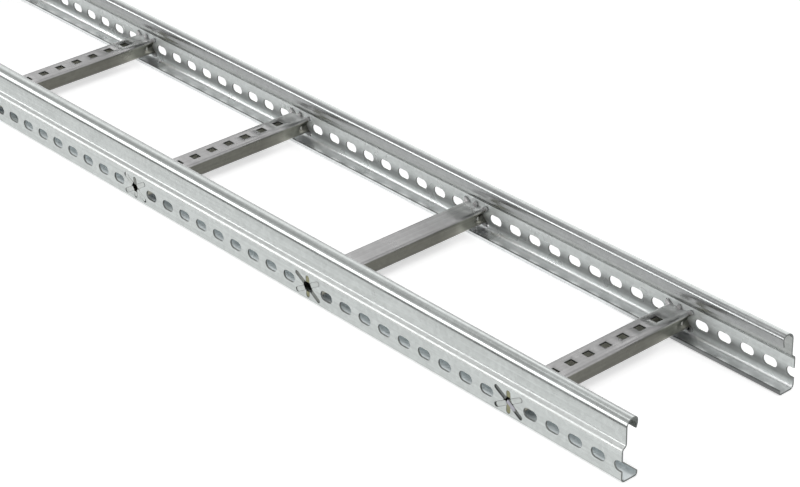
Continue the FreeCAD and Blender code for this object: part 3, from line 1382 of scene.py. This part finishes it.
# Painted light and shade: the rung's flanks are darker than its top and bottom. Along the rung the tone
# is darkest in the middle, brightest in a band near each rail and darker again at the rail.
RUNG_SHEET = Galvanised(
    "galvanised_rung_sheet",
    (0.79, 0.785, 0.785),
    CROSSWISE,
    flank_shade=(0.345, 0.345, 0.30),
    roughness=0.28,
    painted_light_by_reach=(
        (0.0, 0.42), (40.0, 0.42), (52.0, 0.52), (60.0, 0.64),
        (68.0, 1.0), (78.0, 1.0), (86.0, 0.8), (98.5, 0.62),
    ),
)
SHARED_FINISHES = {
    # Sheared edges: bare steel, darker than the zinc, and painted shade where they line deep openings.
    Coat.CUT: Galvanised("sheared_edge_and_painted_shade", (0.17, 0.18, 0.175), EVEN, roughness=0.42),
    # Painted highlight: the joggle is brighter than the sheet it is rolled from, and rougher as well.
    Coat.STEP: Galvanised("rolled_step_painted_highlight", (0.60, 0.62, 0.61), LENGTHWISE, roughness=0.42),
    # Painted shade: the bead's inner curl, darker than the sheet it is bent from.
    Coat.CURL: Galvanised("curled_edge_painted_shade", (0.36, 0.37, 0.37), LENGTHWISE, roughness=0.24),
    # Painted shade: the inner skin above the lower web, darker than the sheet.
    Coat.SHADED_UPPER_INSIDE: Galvanised(
        "inside_of_upper_rail_painted_shade", (0.39, 0.405, 0.395), LENGTHWISE, roughness=0.24
    ),
    # Painted light and shade: the lip is brighter than the sheet and darker towards both rail ends.
    Coat.LIP: Galvanised(
        "lip_of_rail_painted_light_and_shade",
        (0.84, 0.86, 0.86),
        LENGTHWISE,
        roughness=0.3,
        painted_light_by_length=((0.0, 1.0), (1300.0, 1.0), (1350.0, 0.6), (1400.0, 0.3), (1500.0, 0.22)),
    ),
    # Painted light: the rung's inside is matt and near-white, lighter than its dim inside would show.
    Coat.INSIDE: Galvanised(
        "inside_of_rung", (0.88, 0.88, 0.83), CROSSWISE, roughness=0.6, bump=0.0, metallic=0.0
    ),
    # The pressed ribs: one finish in lit and shaded copies, painted light and shade, with a painted
    # lilac sheen.
    Coat.OLIVE_SHADED_RIB: Galvanised("pressed_rib_painted_olive_shade", (0.26, 0.255, 0.16), EVEN, roughness=0.40),
    Coat.GREY_SHADED_RIB: Galvanised("pressed_rib_painted_grey_shade", (0.21, 0.22, 0.205), EVEN, roughness=0.40),
    Coat.LIT_RIB: Galvanised("pressed_rib_painted_light", (0.53, 0.555, 0.54), EVEN, roughness=0.30),
    Coat.LILAC_SHEEN_RIB: Galvanised("pressed_rib_painted_lilac_sheen", (0.38, 0.375, 0.42), EVEN, roughness=0.30),
}


# The studio


@dataclass(frozen=True)
class Lamp:
    """One soft lamp."""

    name: str
    place: Point
    target: Point
    width: float
    height: float
    power: float

    def hang(self) -> None:
        """Hangs the lamp, turned towards its target."""
        light = bpy.data.lights.new(self.name, "AREA")
        light.shape = "RECTANGLE"
        light.size, light.size_y = self.width, self.height
        light.energy = self.power
        made = bpy.data.objects.new(self.name, light)
        made.location = self.place
        aim = Vector(self.target) - Vector(self.place)
        made.rotation_euler = aim.to_track_quat("-Z", "Y").to_euler()
        bpy.context.scene.collection.objects.link(made)


@dataclass
class Studio:
    """A pale floor, soft lamps and the camera.

    The camera sees white all round. Metal reflects a tent instead, which is graded by its height
    in front of the ladder and behind it.
    """

    floor_reach: float = 60.0
    floor_front: float = -0.18
    floor_tone: float = 0.85
    floor_glow: float = 0.38
    floor_lift: float = 0.14
    world_level: float = 0.45
    tent_gain: float = 1.77
    tent_seam: Flat = (-0.15, 0.25)
    tent_span: Flat = (-0.3, 1.0)
    tent_front: Levels = (
        (-0.3, 0.12), (-0.12, 0.12), (-0.03, 0.85), (0.16, 0.88),
        (0.32, 0.5), (0.5, 0.36), (0.6, 0.29), (0.76, 0.33),
    )
    tent_back: Levels = (
        (-0.3, 0.9), (0.16, 0.9), (0.42, 0.52), (0.47, 0.62), (0.53, 0.85),
        (0.62, 0.82), (0.7, 0.5), (0.74, 0.36), (0.97, 0.5),
    )
    lamps: tuple[Lamp, ...] = (
        Lamp("side_lamp", (-1.4, -2.7, 0.8), (0.9, 0.0, 0.0), 2.8, 0.8, 24.0),
        Lamp("top_lamp", (1.2, -0.4, 3.2), (0.8, 0.0, 0.0), 4.2, 2.7, 42.0),
    )
    eye: Point = (2.5975, -1.2714, 1.1068)
    right: Point = (0.6619730, 0.7493568, -0.0160042)
    down: Point = (0.3564701, -0.3335409, -0.8727426)
    forward: Point = (-0.6593336, 0.5720270, -0.4879183)
    lens: float = 113.70
    sensor: float = 36.0
    sight: float = 200.0

    def world(self) -> None:
        """Lights the scene evenly, shows white to the camera and the tent in reflections."""
        world = bpy.data.worlds.new("studio")
        world.use_nodes = True
        bpy.context.scene.world = world
        wiring = Wiring(world.node_tree)
        rays = wiring.add("ShaderNodeLightPath").outputs
        way = wiring.add("ShaderNodeTexCoord").outputs["Generated"]
        behind = wiring.remap(wiring.part(way, "Y"), self.tent_seam)
        height = wiring.part(way, "Z")
        front, back = (
            wiring.ramp(height, levels, self.tent_span, "EASE")
            for levels in (self.tent_front, self.tent_back)
        )
        tent = wiring.reckon("MULTIPLY", wiring.blend(behind, front, back), self.tent_gain)
        light = wiring.blend(rays["Is Glossy Ray"], self.world_level, tent)
        shown = wiring.reckon("MAXIMUM", rays["Is Camera Ray"], rays["Is Transmission Ray"])
        sky = {"Color": grey(1.0), "Strength": wiring.blend(shown, light, 1.0)}
        wiring.fill(world.node_tree.nodes["Background"], sky)

    def floor(self) -> bpy.types.Object:
        """Lays the pale floor under the ladder.

        Returns:
            The floor.
        """
        near, far = -self.floor_reach, self.floor_reach
        draft = Draft()
        draft.face([(near, near, 0.0), (far, near, 0.0), (far, far, 0.0), (near, far, 0.0)])
        mesh = draft.mesh("floor")
        mesh.materials.append(self.paper())
        floor = add_object("floor", mesh)
        return floor

    def paper(self) -> bpy.types.Material:
        """Makes the floor's finish.

        Reflections look past the floor in front of the ladder, into the tent's dark front.

        Returns:
            The material.
        """
        made = bpy.data.materials.new("floor_paper")
        made.use_nodes = True
        nodes = made.node_tree.nodes
        wiring = Wiring(made.node_tree)
        rays = wiring.add("ShaderNodeLightPath").outputs
        camera, glossy = rays["Is Camera Ray"], rays["Is Glossy Ray"]
        direct = wiring.reckon("MAXIMUM", camera, glossy)
        seen = wiring.reckon("MAXIMUM", direct, rays["Is Transmission Ray"])
        glow = wiring.reckon("MULTIPLY", seen, self.floor_glow)
        lift = wiring.reckon("MULTIPLY", camera, self.floor_lift)
        paper = {
            "Base Color": grey(self.floor_tone),
            "Roughness": 1.0,
            "Specular IOR Level": 0.0,
            "Emission Color": grey(1.0),
            "Emission Strength": wiring.reckon("ADD", glow, lift),
        }
        wiring.fill(nodes["Principled BSDF"], paper)
        place = wiring.add("ShaderNodeTexCoord").outputs["Object"]
        ahead = wiring.reckon("LESS_THAN", wiring.part(place, "Y"), self.floor_front)
        surfaces = {
            "Fac": wiring.reckon("MULTIPLY", ahead, glossy),
            1: nodes["Principled BSDF"].outputs["BSDF"],
            2: wiring.add("ShaderNodeBsdfTransparent").outputs["BSDF"],
        }
        mixed = wiring.add("ShaderNodeMixShader", surfaces).outputs["Shader"]
        wiring.fill(nodes["Material Output"], {"Surface": mixed})
        return made

    def camera(self) -> None:
        """Sets up the camera at the picture's viewing angle."""
        data = bpy.data.cameras.new("camera")
        data.lens = self.lens
        data.sensor_width = self.sensor
        data.clip_end = self.sight
        made = bpy.data.objects.new("camera", data)
        axes = [self.right, [-part for part in self.down], [-part for part in self.forward]]
        made.matrix_world = Matrix.Translation(self.eye) @ Matrix(axes).transposed().to_4x4()
        bpy.context.scene.collection.objects.link(made)
        bpy.context.scene.camera = made

    def build(self) -> None:
        """Builds the studio."""
        self.world()
        self.floor()
        for lamp in self.lamps:
            lamp.hang()
        self.camera()
        bpy.context.scene.view_settings.view_transform = "Standard"


def main() -> None:
    """Builds the ladder section and its studio."""
    logging.basicConfig(level=logging.INFO, format="%(message)s")
    shared = {coat: finish.material() for coat, finish in SHARED_FINISHES.items()}
    rail = {**shared, Coat.SHEET: RAIL_SHEET.material()}
    # The two rails' insides are lit and shaded copies of one finish: painted light and shade.
    near_inside = NEAR_INSIDE.material()
    near = {**rail, Coat.TROUGH: near_inside, Coat.FLANGE: near_inside}
    far = {**rail, Coat.TROUGH: FAR_INSIDE.material(), Coat.FLANGE: FAR_FLANGE.material()}
    SideRails().build({Side.RIGHT: near, Side.LEFT: far})
    Rungs().build({**shared, Coat.SHEET: RUNG_SHEET.material()})
    Studio().build()


if __name__ == "__main__":
    main()
